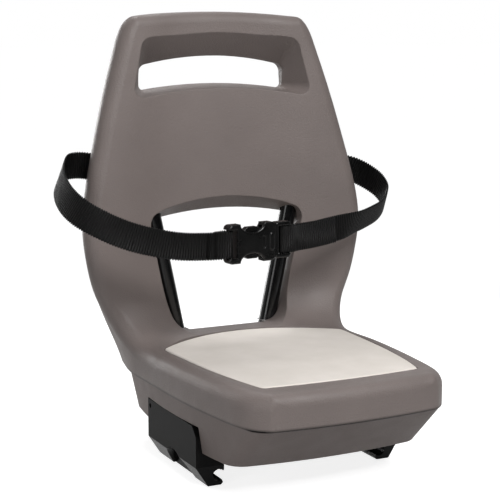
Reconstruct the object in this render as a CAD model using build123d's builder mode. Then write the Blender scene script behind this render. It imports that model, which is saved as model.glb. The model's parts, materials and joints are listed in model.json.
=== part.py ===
"""Child bike seat: moulded shell and base on a steel hoop, with carrier clamps and a waist belt.

Millimetres, +Z up. The child faces -Y; +X is on the right of someone who looks at the seat from the front.
The pieces are drawn with z = 0 on the base's underside and y = 0 midway along the clamps. Each is then set down
with the clamps on the floor and the origin under the middle of the seat's box.
"""
import os
from math import atan, copysign, cos, degrees, radians, sin, sqrt, tan

from build123d import *

# Clearances
FIT = 0.3                # between pieces that seat in each other
SLIDE_FIT = 0.4          # round pieces that slide
SCREW_FIT = 0.1          # round screw shanks

# Moulded shell
WALL = 3.5               # wall of both mouldings
SEAT_TOP = 70.0          # height of the seat top
SEAM = 41.0              # height of the joint line between shell and base
SEAM_GAP = 0.9           # open line along the seam
SEAT_FRONT = -153.0      # foremost point of the seat
FRONT_BOW_R = 580.0      # bow of the front edge in plan
CREST_Y = 85.0           # foremost line of the backrest's side rims
BEND_R = 42.0            # bend from the seat into the backrest
LEAN_FROM = 175.0        # height where the backrest starts to lean
LEAN = 7.0               # lean of the upper backrest, degrees
BACK_TOP = 367.0         # top of the backrest
TOP_BOW_R = 750.0        # bow of the top edge
RIM_DEPTH = 36.0         # depth of the backrest's rims
RIM_R = 13.0             # rolled long edges of the shell
END_R = 10.0             # rolled front edge and top edge
INNER_END_R = 4.5        # the same edges inside the shell
FORM_DEPTH = 90.0        # depth of the raw form before its back is trimmed
FIELD = 900.0            # reach of the trimming cuts

# Openings in the shell: outlines as top corner x, z, top crown z, bottom corner x, z, bottom crown z,
# then the radii of the top and bottom corners
HANDLE_FRONT = (82.4, 352.7, 368.8, 95.5, 285.5, 293.6)
HANDLE_BACK = (75.0, 317.0, 326.0, 75.0, 294.0, 300.0)
HANDLE_FLARE_Y = (95.0, 130.0)
HANDLE_FRONT_R = (15.0, 10.0)
HANDLE_BACK_R = (8.0, 4.5)
WINDOW_FRONT = (80.5, 179.0, 197.0, 57.0, 71.0, 71.0)
WINDOW_BACK = (80.5, 172.0, 181.0, 57.0, 71.0, 71.0)
WINDOW_FLARE_Y = (98.0, 116.0)
WINDOW_R = (12.0, 22.0)
FLANGE_BACK = 114.0      # the flange round the window
FLANGE_CLEAR = 0.3       # room for the hoop where it passes the flange
LIP_HALF = 60.0
LIP_Y = 97.0             # rear lip of the seat, below the window
LIP_Z = WINDOW_FRONT[4]
RIB_X = (-22.0, 0.0, 22.0)  # upright ribs behind the panel, between window and handle
RIB_Z = (198.0, 292.0)
RIB_THICK = 2.4
RIB_INSET = 13.0         # how far the ribs stay inside the rear plane

# Seat pad
PAD_FRONT = (73.0, -123.0)
PAD_FRONT_CROWN = -127.0
PAD_SIDE = (85.5, -57.0)
PAD_REAR = (91.0, 36.0)
PAD_REAR_CROWN = 75.0
PAD_CORNER_R = 6.0
PAD_THICK = 5.6
PAD_PROUD = 0.8          # how far the pad stands above the seat top
PAD_EDGE_R = 1.6
PAD_SEAT = SEAT_TOP + PAD_PROUD - PAD_THICK

# Base tray: half-width at the back, middle and front corners with their y, then the front's crown
BASE_TOP = SEAM - SEAM_GAP
BASE_UPPER = ((95.0, 119.5), (103.8, 20.0), (86.5, -143.0), -150.2)
BASE_LOWER = ((86.0, 118.0), (97.5, -5.0), (88.0, -100.0), -108.0)
BASE_CORNER_R = 18.0
BASE_WALL = 3.0

# Steel hoop
TUBE_R = 8.0
TUBE_WALL = 1.5
HOOP_Y = 108.5           # plane of the uprights
FOOT_X = 38.5            # the feet inside the base
FOOT_Z = 23.0
FOOT_END_Y = -32.0
KNEE_X = 71.5            # where the uprights start to lean
KNEE_Z = 180.0
HOOP_TOP = 262.0
HOOP_HALF = 89.0
HOOP_TOP_Y = HOOP_Y + (HOOP_TOP - KNEE_Z) * tan(radians(LEAN))
HOOP_BEND_R = 27.0

# Saddles over the hoop
SADDLE_WIDE = 14.0
SADDLE_THICK = 2.0
SADDLE_REACH = 21.0      # from the tube's axis to the end of a saddle's ears
SADDLE_SCREW = 15.5      # from the tube's axis to a saddle's screw
BACK_SADDLE_X = 45.0
BASE_SADDLE_Y = (52.0, -1.0)
BLOCK_WIDE = 16.0        # moulded blocks under the saddles
BLOCK_REACH = 22.0

# Carrier clamps
CLAMP_HALF = 53.0        # half length along the carrier
CLAMP_OUT = 100.0        # outer face
PLATE_IN = 95.0          # inner face of the outer plate
PLATE_TOP = 22.0
PLATE_BEVEL = 8.0
LACE_HOLE = (47.5, 16.5, 2.2)
JAW_IN = 74.0            # inner end of the upper jaw
JAW_TOP = -SLIDE_FIT     # the jaws slide along the base's underside
ROD_R = 5.0              # carrier rod that the clamp holds
ROD_X = 79.5
ROD_Z = -21.5
ROD_WRAP = (-130.0, 80.0)
JAW_TOOTH = ((-1.2, 0.0), (-2.5, -0.8), (-3.3, 0.0))  # from the rod's axis and the jaw's lower face
JAW_TIP = ((0.9, -1.8), (0.0, -0.8))  # from the jaw's inner end and its lower face
HOOK_TIP = (3.0, 2.0)    # corner taken off the hook's inner end
HOOK_TIP_IN = 1.0
HOOK_LOW = -30.0
BEVEL_TOP = -13.0        # where the outer plate's lower bevel starts
BEVEL_IN = 89.0
TONGUE_IN = 32.0
TONGUE_OUT = 97.0
TONGUE_HALF = 36.0
TONGUE_Z = (6.1, 10.1)
WEB_IN = 86.0            # web between jaw and tongue
CHANNEL = TONGUE_Z[1] + SLIDE_FIT
CHANNEL_IN = 23.0
TRAVEL_IN = 8.0
TRAVEL_OUT = 12.0
RECESS_IN = 84.0
RECESS_TOP = PLATE_TOP + 1.0
SCALLOP_R = 24.0
SCALLOP_AT = (-3.0, -33.0)
SCALLOP_FLOOR = 87.0
BOLT_AT = (62.0, 22.0)
BOLT_R = 3.0
BOLT_HEAD_R = 5.5
BOLT_HEAD = 3.2
BOLT_EDGE_R = 1.4
BOLT_KEY = 4.0           # across the hexagon socket
BOLT_KEY_DEEP = 1.9
WASHER_R = 7.0
WASHER = 1.4
NUT_ACROSS = 10.0
NUT = 5.0
BOLT_SEAT = TONGUE_Z[0] - 0.2 - WASHER
BOLT_TOP = CHANNEL + WALL + NUT + 2.0

# Screws
SCREW_R = 2.2
SCREW_HEAD_R = 4.2
SCREW_HEAD = 2.6
SCREW_EDGE_R = 1.0
SCREW_KEY = 1.3          # half-width of the cross slots
BOSS_R = 6.0
SHELL_SCREW_AT = ((70.0, -86.0), (54.0, 86.0))
SHELL_SCREW = 46.0
SHELL_SCREW_SEAT = 3.0
SADDLE_SCREW_LONG = 12.0
ANCHOR_SCREW_LONG = 16.0

# Waist belt
WEB = 25.0               # width of the webbing
SLAB = 23.2              # webbing between the two tilted planes that trim it
WEB_THICK = 1.6
BELT_Z = 163.5           # height of the belt in front
BELT_FLAT = 62.0         # the belt runs level this far to each side
ANCHOR_X = 106.0
ANCHOR_Z = 217.0
ANCHOR_END = 96.0        # inner end of the webbing behind the shell
ANCHOR_PLATE = (18.0, 20.0, 1.6)
LEFT_RISE = (-0.1365, 0.4015)  # climb of the belt towards its anchors, along x and y
RIGHT_RISE = (-0.0889, 0.5867)
LEFT_ROUTE = ((-176.0, 98.0), (-176.0, 56.0), (-146.0, 27.0), (-100.0, 15.0))
LEFT_TURN_X = -154.0     # where the left webbing leaves its anchor's line
LEFT_BEND_R = 40.0
LEFT_TAIL = (-14.0, -2.1)  # end of the sewn tail, along the buckle from its bar and towards the front
RIGHT_ROUTE = ((176.0, 112.0), (176.0, 88.0), (150.0, 63.0), (96.0, 41.2))
RIGHT_TURN_X = 152.0
RIGHT_BEND_R = 24.0

# Side-release buckle, along its own axis from the socket's mouth
BUCKLE_AT = (9.0, 20.0, BELT_Z)
BUCKLE_YAW = 8.0
SOCKET_LONG = 50.0
SOCKET_HALF = 17.5       # half height
SOCKET_THICK = 11.0
SOCKET_CORNER_R = 4.0
SOCKET_EDGE_R = 1.5
MOUTH_HALF = 14.6
MOUTH_THICK = 6.4
MOUTH_DEEP = 38.0
THUMB_CUT = (12.5, 8.0)  # half length and depth of the thumb cut-outs
SOCKET_RIB = (-4.5, 16.0, 5.0, 1.1)  # raised rib near the mouth: place, length, width, height
SOCKET_RIB_R = 0.8
SOCKET_NOTCH = (-13.0, 11.0, 3.6, 1.0)  # slot beside it: place, length, width, depth
THUMB_AT = -25.0
WEB_SLOT = 13.2          # half height of every webbing slot
SLOT_FROM = -41.0        # the socket's webbing slot starts here
BAR_R = 2.0
SOCKET_BAR = -47.5
PLUG_LONG = 17.5
PLUG_HALF = 16.5
PLUG_THICK = 9.0
PLUG_CORNER_R = 3.0
PLUG_BAR = 9.5
PLUG_SLOT = 3.5          # the plug's webbing slot starts here
PLUG_CLEAR = 6.0         # the webbing runs straight this far past the plug
END_BAR = 2.4
PRONG_THICK = MOUTH_THICK - 2 * SLIDE_FIT
PRONG_OUT = MOUTH_HALF - SLIDE_FIT
PRONG_WIDE = 3.4
PRONG_LONG = 34.0
PRONG_HEAD = 15.0
GUIDE_HALF = 2.6
GUIDE_LONG = 29.0
PRONG_STEP = 1.2         # how far the prongs' heads stand out from their arms
PRONG_NOSE = 5.0         # length of the tapered tip
PRONG_ROOT = 1.0         # how far the prongs reach into the plug's frame
TAIL_STEP = (1.0, 12.0, -0.4)  # the tail leaves the plug's frame, then lies down on the webbing
TAIL_END = (83.0, 35.9)  # where the right webbing's tail ends
LOOP_R = BAR_R + 0.35 + WEB_THICK / 2

# Stations of the shell along the seat, round the bend and up the backrest.
# Seat stations give y, bend stations the angle turned, back stations the height.
# Each then gives half-width, dish (how far the middle lies below the rim) and the side walls' slope.
SEAT_STATIONS = (
    (-158.0, 54.0, 0.0, 0.0),
    (-150.0, 73.0, 0.0, 0.0),
    (-142.0, 83.5, 0.0, 0.0),
    (-130.0, 92.0, 0.0, 0.0),
    (-110.0, 97.3, 0.0, 0.0),
    (-78.0, 101.5, 0.0, 0.0),
    (-40.0, 105.0, 0.0, 0.0),
    (2.0, 106.3, 0.0, 0.0),
)
BEND_STATIONS = (
    (0.0, 106.8, 0.3, 0.0),
    (22.5, 109.0, 3.0, 0.1),
    (45.0, 114.5, 11.5, 0.34),
    (67.5, 123.0, 14.0, 0.34),
    (90.0, 132.5, 14.0, 0.32),
)
BACK_STATIONS = (
    (140.0, 139.5, 14.0, 0.32),
    (170.0, 142.5, 13.0, 0.32),
    (200.0, 139.7, 12.0, 0.32),
    (240.0, 130.5, 10.0, 0.32),
    (280.0, 120.0, 8.0, 0.32),
    (315.0, 109.5, 7.0, 0.32),
    (338.0, 102.0, 6.0, 0.32),
    (352.0, 96.5, 5.5, 0.32),
    (360.0, 90.5, 5.0, 0.32),
    (365.5, 80.5, 4.8, 0.32),
    (372.0, 58.0, 4.5, 0.32),
)
FRONT_TURN = -100.0      # stations in front of this follow the front wall
TOP_TURN = 330.0         # stations above this follow the top wall

CENTRED = (Align.CENTER, Align.CENTER, Align.CENTER)
UPWARD = (Align.CENTER, Align.CENTER, Align.MIN)
DOWNWARD = (Align.CENTER, Align.CENTER, Align.MAX)
SIDES = (-1, 1)


def lean_shift(height):
    """How far the backrest has leant back at a height."""
    return max(height - LEAN_FROM, 0.0) * tan(radians(LEAN))


def rear_y(height):
    """The plane that the backrest's rims end on."""
    return CREST_Y + RIM_DEPTH + lean_shift(height)


def save(piece, name):
    """Sets a finished piece down in the frame of the whole seat and writes it out."""
    ground = Location((0, -(SEAT_FRONT + rear_y(BACK_TOP)) / 2, -HOOK_LOW))
    standing = piece.moved(ground)
    standing.label = name
    export_step(standing, f"parts/{name}.step")


def span_box(low, high):
    """A box between two corners."""
    size = [b - a for a, b in zip(low, high)]
    middle = [(a + b) / 2 for a, b in zip(low, high)]
    with BuildPart() as box:
        with Locations(tuple(middle)):
            Box(*size, align=CENTRED)
    return box.part


def upright(radius, x, y, low, high):
    """A round post between two heights."""
    with BuildPart(Plane.XY.offset(low)) as post:
        with Locations((x, y)):
            Cylinder(radius, high - low, align=UPWARD)
    return post.part


def backward(radius, x, z, front, back):
    """A round post along Y between two depths."""
    with BuildPart(Plane(origin=(x, front, z), z_dir=(0, 1, 0))) as post:
        Cylinder(radius, back - front, align=UPWARD)
    return post.part


def form_section(y, z, tilt, half_width, dish, slope, corner):
    """One cross-section of the shell form, facing up at tilt 0 and forwards at tilt 90."""
    turn = radians(tilt)
    plane = Plane(origin=(0, y, z), x_dir=(1, 0, 0), z_dir=(0, -cos(turn), -sin(turn)))
    lead = degrees(atan(slope))
    flat = half_width - corner
    side_x = flat + corner * cos(radians(lead))
    side_y = -corner - corner * sin(radians(lead))
    low_x = side_x - slope * FORM_DEPTH
    low_y = side_y - FORM_DEPTH
    with BuildSketch(plane) as section:
        with BuildLine():
            CenterArc((flat, -corner), corner, -lead, 90 + lead)
            Spline(
                (flat, 0),
                (0.55 * flat, -0.8 * dish),
                (0, -dish),
                (-0.55 * flat, -0.8 * dish),
                (-flat, 0),
                tangents=((-1, 0), (-1, 0)),
            )
            CenterArc((-flat, -corner), corner, 90, 90 + lead)
            Polyline((-side_x, side_y), (-low_x, low_y), (low_x, low_y), (side_x, side_y))
        make_face()
    return section.sketch


def bowed_field(plane, edge, bow_radius, reach):
    """A wide field that starts at a bowed edge and reaches away from it."""
    half = FIELD / 4
    rise = bow_radius - copysign(sqrt(bow_radius**2 - half**2), bow_radius)
    with BuildSketch(plane) as field:
        with BuildLine():
            ThreePointArc((-half, edge + rise), (0, edge), (half, edge + rise))
            Polyline((half, edge + rise), (half, edge + reach), (-half, edge + reach), (-half, edge + rise))
        make_face()
    return field.sketch


def shell_form(inset, end_r):
    """The filled shell, drawn in by inset on every outer face, with its end edges rolled."""
    bend_y = CREST_Y - BEND_R
    bend_z = SEAT_TOP + BEND_R
    radius = BEND_R + inset
    corner = RIM_R - inset
    sections = []
    for y, half_width, dish, slope in SEAT_STATIONS:
        place = y + inset if y < FRONT_TURN else y
        sections.append(form_section(place, SEAT_TOP - inset, 0, half_width - inset, dish, slope, corner))
    for tilt, half_width, dish, slope in BEND_STATIONS:
        y = bend_y + radius * sin(radians(tilt))
        z = bend_z - radius * cos(radians(tilt))
        sections.append(form_section(y, z, tilt, half_width - inset, dish, slope, corner))
    for z, half_width, dish, slope in BACK_STATIONS:
        place = z - inset if z > TOP_TURN else z
        tilt = 90 - LEAN if z > LEAN_FROM else 90
        y = CREST_Y + inset + lean_shift(place)
        sections.append(form_section(y, place, tilt, half_width - inset, dish, slope, corner))
    front_cut = bowed_field(Plane.XY.offset(-FIELD / 2), SEAT_FRONT + inset, FRONT_BOW_R, FIELD)
    top_cut = bowed_field(Plane.XZ.offset(-FIELD / 2), BACK_TOP - inset, -TOP_BOW_R, -FIELD)
    with BuildPart() as form:
        loft(sections)
        extrude(front_cut, amount=FIELD, mode=Mode.INTERSECT)
        extrude(top_cut, amount=FIELD, mode=Mode.INTERSECT)
        front_wall = form.faces().filter_by(GeomType.CYLINDER).sort_by(Axis.Y)[0]
        fillet(front_wall.edges().filter_by(lambda e: e.center().Z > 0), end_r)
        top_wall = form.faces().filter_by(GeomType.CYLINDER).sort_by(Axis.Z)[-1]
        fillet(top_wall.edges().filter_by(lambda e: e.center().Y < CREST_Y + FORM_DEPTH / 2), end_r)
    return form.part


def opening_outline(plane, outline, corner_r, grow):
    """A bowed four-sided opening, made wider all round by grow."""
    top_r, bottom_r = corner_r
    top_x, top_z, top_crown, low_x, low_z, low_crown = outline
    top_right = (top_x + grow, top_z + grow)
    top_left = (-top_x - grow, top_z + grow)
    low_right = (low_x + grow, low_z - grow)
    low_left = (-low_x - grow, low_z - grow)
    with BuildSketch(plane) as opening:
        with BuildLine():
            ThreePointArc(top_left, (0, top_crown + grow), top_right)
            Line(top_right, low_right)
            if low_crown > low_z:
                ThreePointArc(low_right, (0, low_crown - grow), low_left)
            else:
                Line(low_right, low_left)
            Line(low_left, top_left)
        make_face()
        fillet(opening.vertices().sort_by(Axis.Y)[2:], top_r + grow)
        fillet(opening.vertices().sort_by(Axis.Y)[:2], bottom_r + grow)
    return opening.sketch


def flared_opening(front, back, flare_y, front_r, back_r, grow):
    """The cutter of an opening that narrows from the front skin to the back."""
    front_y, back_y = flare_y
    front_sketch = opening_outline(Plane.XZ.offset(-front_y), front, front_r, grow)
    back_sketch = opening_outline(Plane.XZ.offset(-back_y), back, back_r, grow)
    with BuildPart() as cutter:
        loft([front_sketch, back_sketch], ruled=True)
        extrude(front_sketch, amount=FIELD / 4)
        extrude(back_sketch, amount=-FIELD / 4)
    return cutter.part


def pad_outline(height, grow):
    """Plan of the seat pad at a height, made wider all round by grow."""
    front_x, front_y = PAD_FRONT[0] + grow, PAD_FRONT[1] - grow
    side_x, side_y = PAD_SIDE[0] + grow, PAD_SIDE[1]
    rear_x, rear_corner_y = PAD_REAR[0] + grow, PAD_REAR[1] + grow
    with BuildSketch(Plane.XY.offset(height)) as plan:
        with BuildLine():
            ThreePointArc((-front_x, front_y), (0, PAD_FRONT_CROWN - grow), (front_x, front_y))
            ThreePointArc((front_x, front_y), (side_x, side_y), (rear_x, rear_corner_y))
            ThreePointArc((rear_x, rear_corner_y), (0, PAD_REAR_CROWN + grow), (-rear_x, rear_corner_y))
            ThreePointArc((-rear_x, rear_corner_y), (-side_x, side_y), (-front_x, front_y))
        make_face()
        fillet(plan.vertices(), PAD_CORNER_R + grow)
    return plan.sketch


def bent_tube(radius, bore):
    """The hoop's bent line with a round section, hollow where there is a bore."""
    with BuildPart() as tube:
        with BuildLine():
            FilletPolyline(
                (-FOOT_X, FOOT_END_Y, FOOT_Z),
                (-FOOT_X, HOOP_Y, FOOT_Z),
                (-KNEE_X, HOOP_Y, KNEE_Z),
                (-HOOP_HALF, HOOP_TOP_Y, HOOP_TOP),
                (HOOP_HALF, HOOP_TOP_Y, HOOP_TOP),
                (KNEE_X, HOOP_Y, KNEE_Z),
                (FOOT_X, HOOP_Y, FOOT_Z),
                (FOOT_X, FOOT_END_Y, FOOT_Z),
                radius=HOOP_BEND_R,
            )
        with BuildSketch(Plane(origin=(-FOOT_X, FOOT_END_Y, FOOT_Z), z_dir=(0, 1, 0))):
            Circle(radius)
            if bore:
                Circle(bore, mode=Mode.SUBTRACT)
        sweep()
    return tube.part


def base_outline(height, outline, inset):
    """Plan of the base at a height, drawn in all round by inset."""
    (back_x, back_y), (mid_x, mid_y), (front_x, front_y), crown = outline
    back_right = (back_x - inset, back_y - inset)
    back_left = (inset - back_x, back_y - inset)
    front_right = (front_x - inset, front_y + inset)
    front_left = (inset - front_x, front_y + inset)
    with BuildSketch(Plane.XY.offset(height)) as plan:
        with BuildLine():
            Line(back_left, back_right)
            ThreePointArc(back_right, (mid_x - inset, mid_y), front_right)
            ThreePointArc(front_right, (0, crown + inset), front_left)
            ThreePointArc(front_left, (inset - mid_x, mid_y), back_left)
        make_face()
        fillet(plan.vertices(), BASE_CORNER_R - inset)
    return plan.sketch


def pan_screw(seat, length):
    """A pan-head screw with its head on a plane and its shank running against the plane's normal."""
    with BuildPart(seat) as screw:
        Cylinder(SCREW_HEAD_R, SCREW_HEAD, align=UPWARD)
        head_face = screw.faces().sort_by(lambda f: (f.center() - seat.origin).dot(seat.z_dir))[-1]
        fillet(head_face.edges(), SCREW_EDGE_R)
        with Locations((0, 0, SCREW_HEAD)):
            Box(2 * SCREW_HEAD_R - 4, SCREW_KEY, SCREW_HEAD, align=CENTRED, mode=Mode.SUBTRACT)
            Box(SCREW_KEY, 2 * SCREW_HEAD_R - 4, SCREW_HEAD, align=CENTRED, mode=Mode.SUBTRACT)
        Cylinder(SCREW_R, length, align=DOWNWARD)
    return screw.part


def button_bolt(x, y):
    """A button-head bolt that stands on its head, with a hexagon socket underneath."""
    with BuildPart(Plane(origin=(x, y, BOLT_SEAT), z_dir=(0, 0, -1))) as bolt:
        Cylinder(BOLT_HEAD_R, BOLT_HEAD, align=UPWARD)
        fillet(bolt.faces().sort_by(Axis.Z)[0].edges(), BOLT_EDGE_R)
        with BuildSketch(Plane.XY.offset(BOLT_SEAT - BOLT_HEAD)):
            with Locations((x, y)):
                RegularPolygon(BOLT_KEY / 2, 6, major_radius=False)
        extrude(amount=BOLT_KEY_DEEP, mode=Mode.SUBTRACT)
        Cylinder(BOLT_R, BOLT_TOP - BOLT_SEAT, align=DOWNWARD)
    return bolt.part


def saddle(plane):
    """A pressed strap over the hoop; the plane lies on its seat, across the tube."""
    with BuildPart() as strap:
        with BuildSketch(plane):
            Circle(TUBE_R + FIT / 2 + SADDLE_THICK)
            with Locations((0, SADDLE_THICK / 2)):
                Rectangle(2 * SADDLE_REACH, SADDLE_THICK)
            Circle(TUBE_R + FIT / 2, mode=Mode.SUBTRACT)
            with Locations((0, -FIELD / 2)):
                Rectangle(FIELD, FIELD, mode=Mode.SUBTRACT)
        extrude(amount=SADDLE_WIDE / 2, both=True)
        for step in SIDES:
            with BuildSketch(plane) as drill:
                with Locations((step * SADDLE_SCREW, 0)):
                    Rectangle(2 * (SCREW_R + SCREW_FIT), FIELD)
            extrude(drill.sketch, amount=SCREW_R + SCREW_FIT, both=True, mode=Mode.SUBTRACT)
    return strap.part


def belt_xy(along, front):
    """Plan position beside the buckle: along its axis from the mouth, and towards the front."""
    turn = radians(BUCKLE_YAW)
    x, y, _ = BUCKLE_AT
    return (x + along * cos(turn) + front * sin(turn), y + along * sin(turn) - front * cos(turn))


def belt_webbing(plan, side, rise):
    """Webbing that follows a plan route: level in front, rising towards the anchor beyond that."""
    slope_x, slope_y = rise
    tilted = Plane(origin=(side * ANCHOR_X, STRAP_Y, ANCHOR_Z), z_dir=(-slope_x, -slope_y, 1))
    level = (0, side * BELT_FLAT)
    beyond = (side * BELT_FLAT, side * FIELD)
    with BuildPart() as level_run:
        extrude(plan, amount=FIELD, dir=(0, 0, 1))
        add(span_box((min(level), -FIELD, BELT_Z - WEB / 2), (max(level), FIELD, BELT_Z + WEB / 2)),
            mode=Mode.INTERSECT)
    with BuildPart() as webbing:
        extrude(plan, amount=FIELD, dir=(0, 0, 1))
        with Locations(tilted):
            Box(FIELD, FIELD, SLAB, align=CENTRED, mode=Mode.INTERSECT)
        add(span_box((min(beyond), -FIELD, -FIELD), (max(beyond), FIELD, FIELD)), mode=Mode.INTERSECT)
        add(level_run.part)
        add(backward(SCREW_R + SCREW_FIT, side * ANCHOR_X, ANCHOR_Z, 0, FIELD), mode=Mode.SUBTRACT)
    return webbing.part


# The webbing lies behind the rims at its anchors
STRAP_Y = rear_y(ANCHOR_Z + WEB / 2 + 6) + FIT + WEB_THICK / 2
STRAP_FRONT = STRAP_Y - WEB_THICK / 2

os.makedirs("parts", exist_ok=True)

# Seat shell: outer form less its cavity, with what the moulding keeps inside the cavity
handle_tunnel = flared_opening(HANDLE_FRONT, HANDLE_BACK, HANDLE_FLARE_Y, HANDLE_FRONT_R, HANDLE_BACK_R, WALL)
handle_hole = flared_opening(HANDLE_FRONT, HANDLE_BACK, HANDLE_FLARE_Y, HANDLE_FRONT_R, HANDLE_BACK_R, 0)
window_rim = flared_opening(WINDOW_FRONT, WINDOW_BACK, WINDOW_FLARE_Y, WINDOW_R, WINDOW_R, WALL)
window_hole = flared_opening(WINDOW_FRONT, WINDOW_BACK, WINDOW_FLARE_Y, WINDOW_R, WINDOW_R, 0)

with BuildPart() as window_flange:
    add(window_rim)
    add(span_box((-FIELD, 0, LIP_Z), (FIELD, FLANGE_BACK, BACK_TOP)), mode=Mode.INTERSECT)
    add(bent_tube(TUBE_R + FLANGE_CLEAR, 0), mode=Mode.SUBTRACT)

with BuildPart() as cavity:
    add(shell_form(WALL, INNER_END_R))
    add(handle_tunnel, mode=Mode.SUBTRACT)
    add(window_flange.part, mode=Mode.SUBTRACT)
    extrude(pad_outline(PAD_SEAT - WALL, FIT + WALL), amount=FIELD / 4, mode=Mode.SUBTRACT)
    add(span_box((-LIP_HALF, CREST_Y - BEND_R, LIP_Z - WALL), (LIP_HALF, LIP_Y, LIP_Z + WALL)),
        mode=Mode.SUBTRACT)
    add(span_box((-LIP_HALF, LIP_Y - WALL, 0), (LIP_HALF, LIP_Y, LIP_Z + WALL)), mode=Mode.SUBTRACT)
    for side in SIDES:
        add(backward(BOSS_R, side * ANCHOR_X, ANCHOR_Z, 0, FIELD), mode=Mode.SUBTRACT)
        add(
            span_box(
                (side * BACK_SADDLE_X - BLOCK_WIDE / 2, 0, HOOP_TOP - BLOCK_REACH),
                (side * BACK_SADDLE_X + BLOCK_WIDE / 2, HOOP_TOP_Y, HOOP_TOP + BLOCK_REACH),
            ),
            mode=Mode.SUBTRACT,
        )
    for x in RIB_X:
        with BuildSketch(Plane.YZ.offset(x)):
            with BuildLine():
                Polyline(
                    (0, RIB_Z[0]),
                    (rear_y(RIB_Z[0]) - RIB_INSET, RIB_Z[0]),
                    (rear_y(RIB_Z[1]) - RIB_INSET, RIB_Z[1]),
                    (0, RIB_Z[1]),
                    close=True,
                )
            make_face()
        extrude(amount=RIB_THICK / 2, both=True, mode=Mode.SUBTRACT)

with BuildPart() as seat_shell:
    add(shell_form(0, END_R))
    add(cavity.part, mode=Mode.SUBTRACT)
    with BuildSketch(Plane.YZ.offset(-FIELD / 2)):
        with BuildLine():
            Polyline(
                (-FIELD, SEAM),
                (rear_y(SEAM), SEAM),
                (rear_y(LEAN_FROM), LEAN_FROM),
                (rear_y(FIELD), FIELD),
                (-FIELD, FIELD),
                close=True,
            )
        make_face()
    extrude(amount=FIELD, mode=Mode.INTERSECT)
    add(handle_hole, mode=Mode.SUBTRACT)
    add(window_hole, mode=Mode.SUBTRACT)
    extrude(pad_outline(PAD_SEAT, FIT), amount=FIELD / 4, mode=Mode.SUBTRACT)
    for side in SIDES:
        add(backward(BOSS_R, side * ANCHOR_X, ANCHOR_Z, rear_y(ANCHOR_Z) - WALL, STRAP_FRONT))
        add(backward(SCREW_R + SCREW_FIT, side * ANCHOR_X, ANCHOR_Z, STRAP_Y - ANCHOR_SCREW_LONG, FIELD),
            mode=Mode.SUBTRACT)
        for (x, y), top in zip(SHELL_SCREW_AT, (PAD_SEAT - 1, LIP_Z - 1)):
            add(upright(BOSS_R, side * x, y, SEAM, top))
            add(upright(SCREW_R + SCREW_FIT, side * x, y, 0, SHELL_SCREW_SEAT + SHELL_SCREW + 1),
                mode=Mode.SUBTRACT)
        for step in SIDES:
            screw_z = HOOP_TOP + step * SADDLE_SCREW
            screw_end = HOOP_TOP_Y + SADDLE_THICK - SADDLE_SCREW_LONG - 1
            add(backward(SCREW_R + SCREW_FIT, side * BACK_SADDLE_X, screw_z, screw_end, FIELD),
                mode=Mode.SUBTRACT)
    with Locations(Plane(origin=(0, HOOP_TOP_Y, HOOP_TOP), z_dir=(1, 0, 0))):
        Cylinder(TUBE_R + FIT / 2, 2 * HOOP_HALF, align=CENTRED, mode=Mode.SUBTRACT)
save(seat_shell.part, "seat_shell")

# Base tray
base_shape = (base_outline(0, BASE_LOWER, 0), base_outline(BASE_TOP, BASE_UPPER, 0))
base_hollow = (base_outline(WALL, BASE_LOWER, BASE_WALL), base_outline(BASE_TOP, BASE_UPPER, BASE_WALL))
with BuildPart() as base_cavity:
    loft(base_hollow, ruled=True)
    extrude(base_hollow[1], amount=WALL)
    for side in SIDES:
        channel = (side * (CHANNEL_IN - WALL), side * FIELD)
        add(span_box((min(channel), -TONGUE_HALF - SLIDE_FIT - WALL, 0),
                     (max(channel), TONGUE_HALF + SLIDE_FIT + WALL, CHANNEL + WALL)), mode=Mode.SUBTRACT)
        recess = (side * (RECESS_IN - BASE_WALL), side * FIELD)
        add(span_box((min(recess), -CLAMP_HALF - 1 - BASE_WALL, 0),
                     (max(recess), CLAMP_HALF + 1 + BASE_WALL, RECESS_TOP + BASE_WALL)), mode=Mode.SUBTRACT)

with BuildPart() as base_tray:
    loft(base_shape, ruled=True)
    add(base_cavity.part, mode=Mode.SUBTRACT)
    for side in SIDES:
        channel = (side * CHANNEL_IN, side * FIELD)
        add(span_box((min(channel), -TONGUE_HALF - SLIDE_FIT, -WALL),
                     (max(channel), TONGUE_HALF + SLIDE_FIT, CHANNEL)), mode=Mode.SUBTRACT)
        recess = (side * RECESS_IN, side * FIELD)
        add(span_box((min(recess), -CLAMP_HALF - 1, -WALL),
                     (max(recess), CLAMP_HALF + 1, RECESS_TOP)), mode=Mode.SUBTRACT)
        for y, low in zip(BASE_SADDLE_Y, (1, CHANNEL + 1)):
            add(span_box((side * FOOT_X - BLOCK_REACH, y - BLOCK_WIDE / 2, low),
                         (side * FOOT_X + BLOCK_REACH, y + BLOCK_WIDE / 2, FOOT_Z)))
        with Locations(Plane(origin=(side * FOOT_X, 0, FOOT_Z), z_dir=(0, 1, 0))):
            Cylinder(TUBE_R + FIT / 2, 2 * (HOOP_Y - HOOP_BEND_R), align=CENTRED, mode=Mode.SUBTRACT)
        for x, y in SHELL_SCREW_AT:
            add(upright(BOSS_R, side * x, y, 1, SEAM))
            add(upright(SCREW_R + SCREW_FIT, side * x, y, -WALL, FIELD), mode=Mode.SUBTRACT)
            add(upright(SCREW_HEAD_R + FIT, side * x, y, -WALL, SHELL_SCREW_SEAT), mode=Mode.SUBTRACT)
        for y in BASE_SADDLE_Y:
            for step in SIDES:
                add(upright(SCREW_R + SCREW_FIT, side * FOOT_X + step * SADDLE_SCREW, y,
                            FOOT_Z + SADDLE_THICK - SADDLE_SCREW_LONG - 0.5, FIELD), mode=Mode.SUBTRACT)
        for step in SIDES:
            add(upright(BOLT_R + SCREW_FIT, side * BOLT_AT[0], step * BOLT_AT[1], 0, FIELD), mode=Mode.SUBTRACT)
save(base_tray.part, "base_tray")

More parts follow.
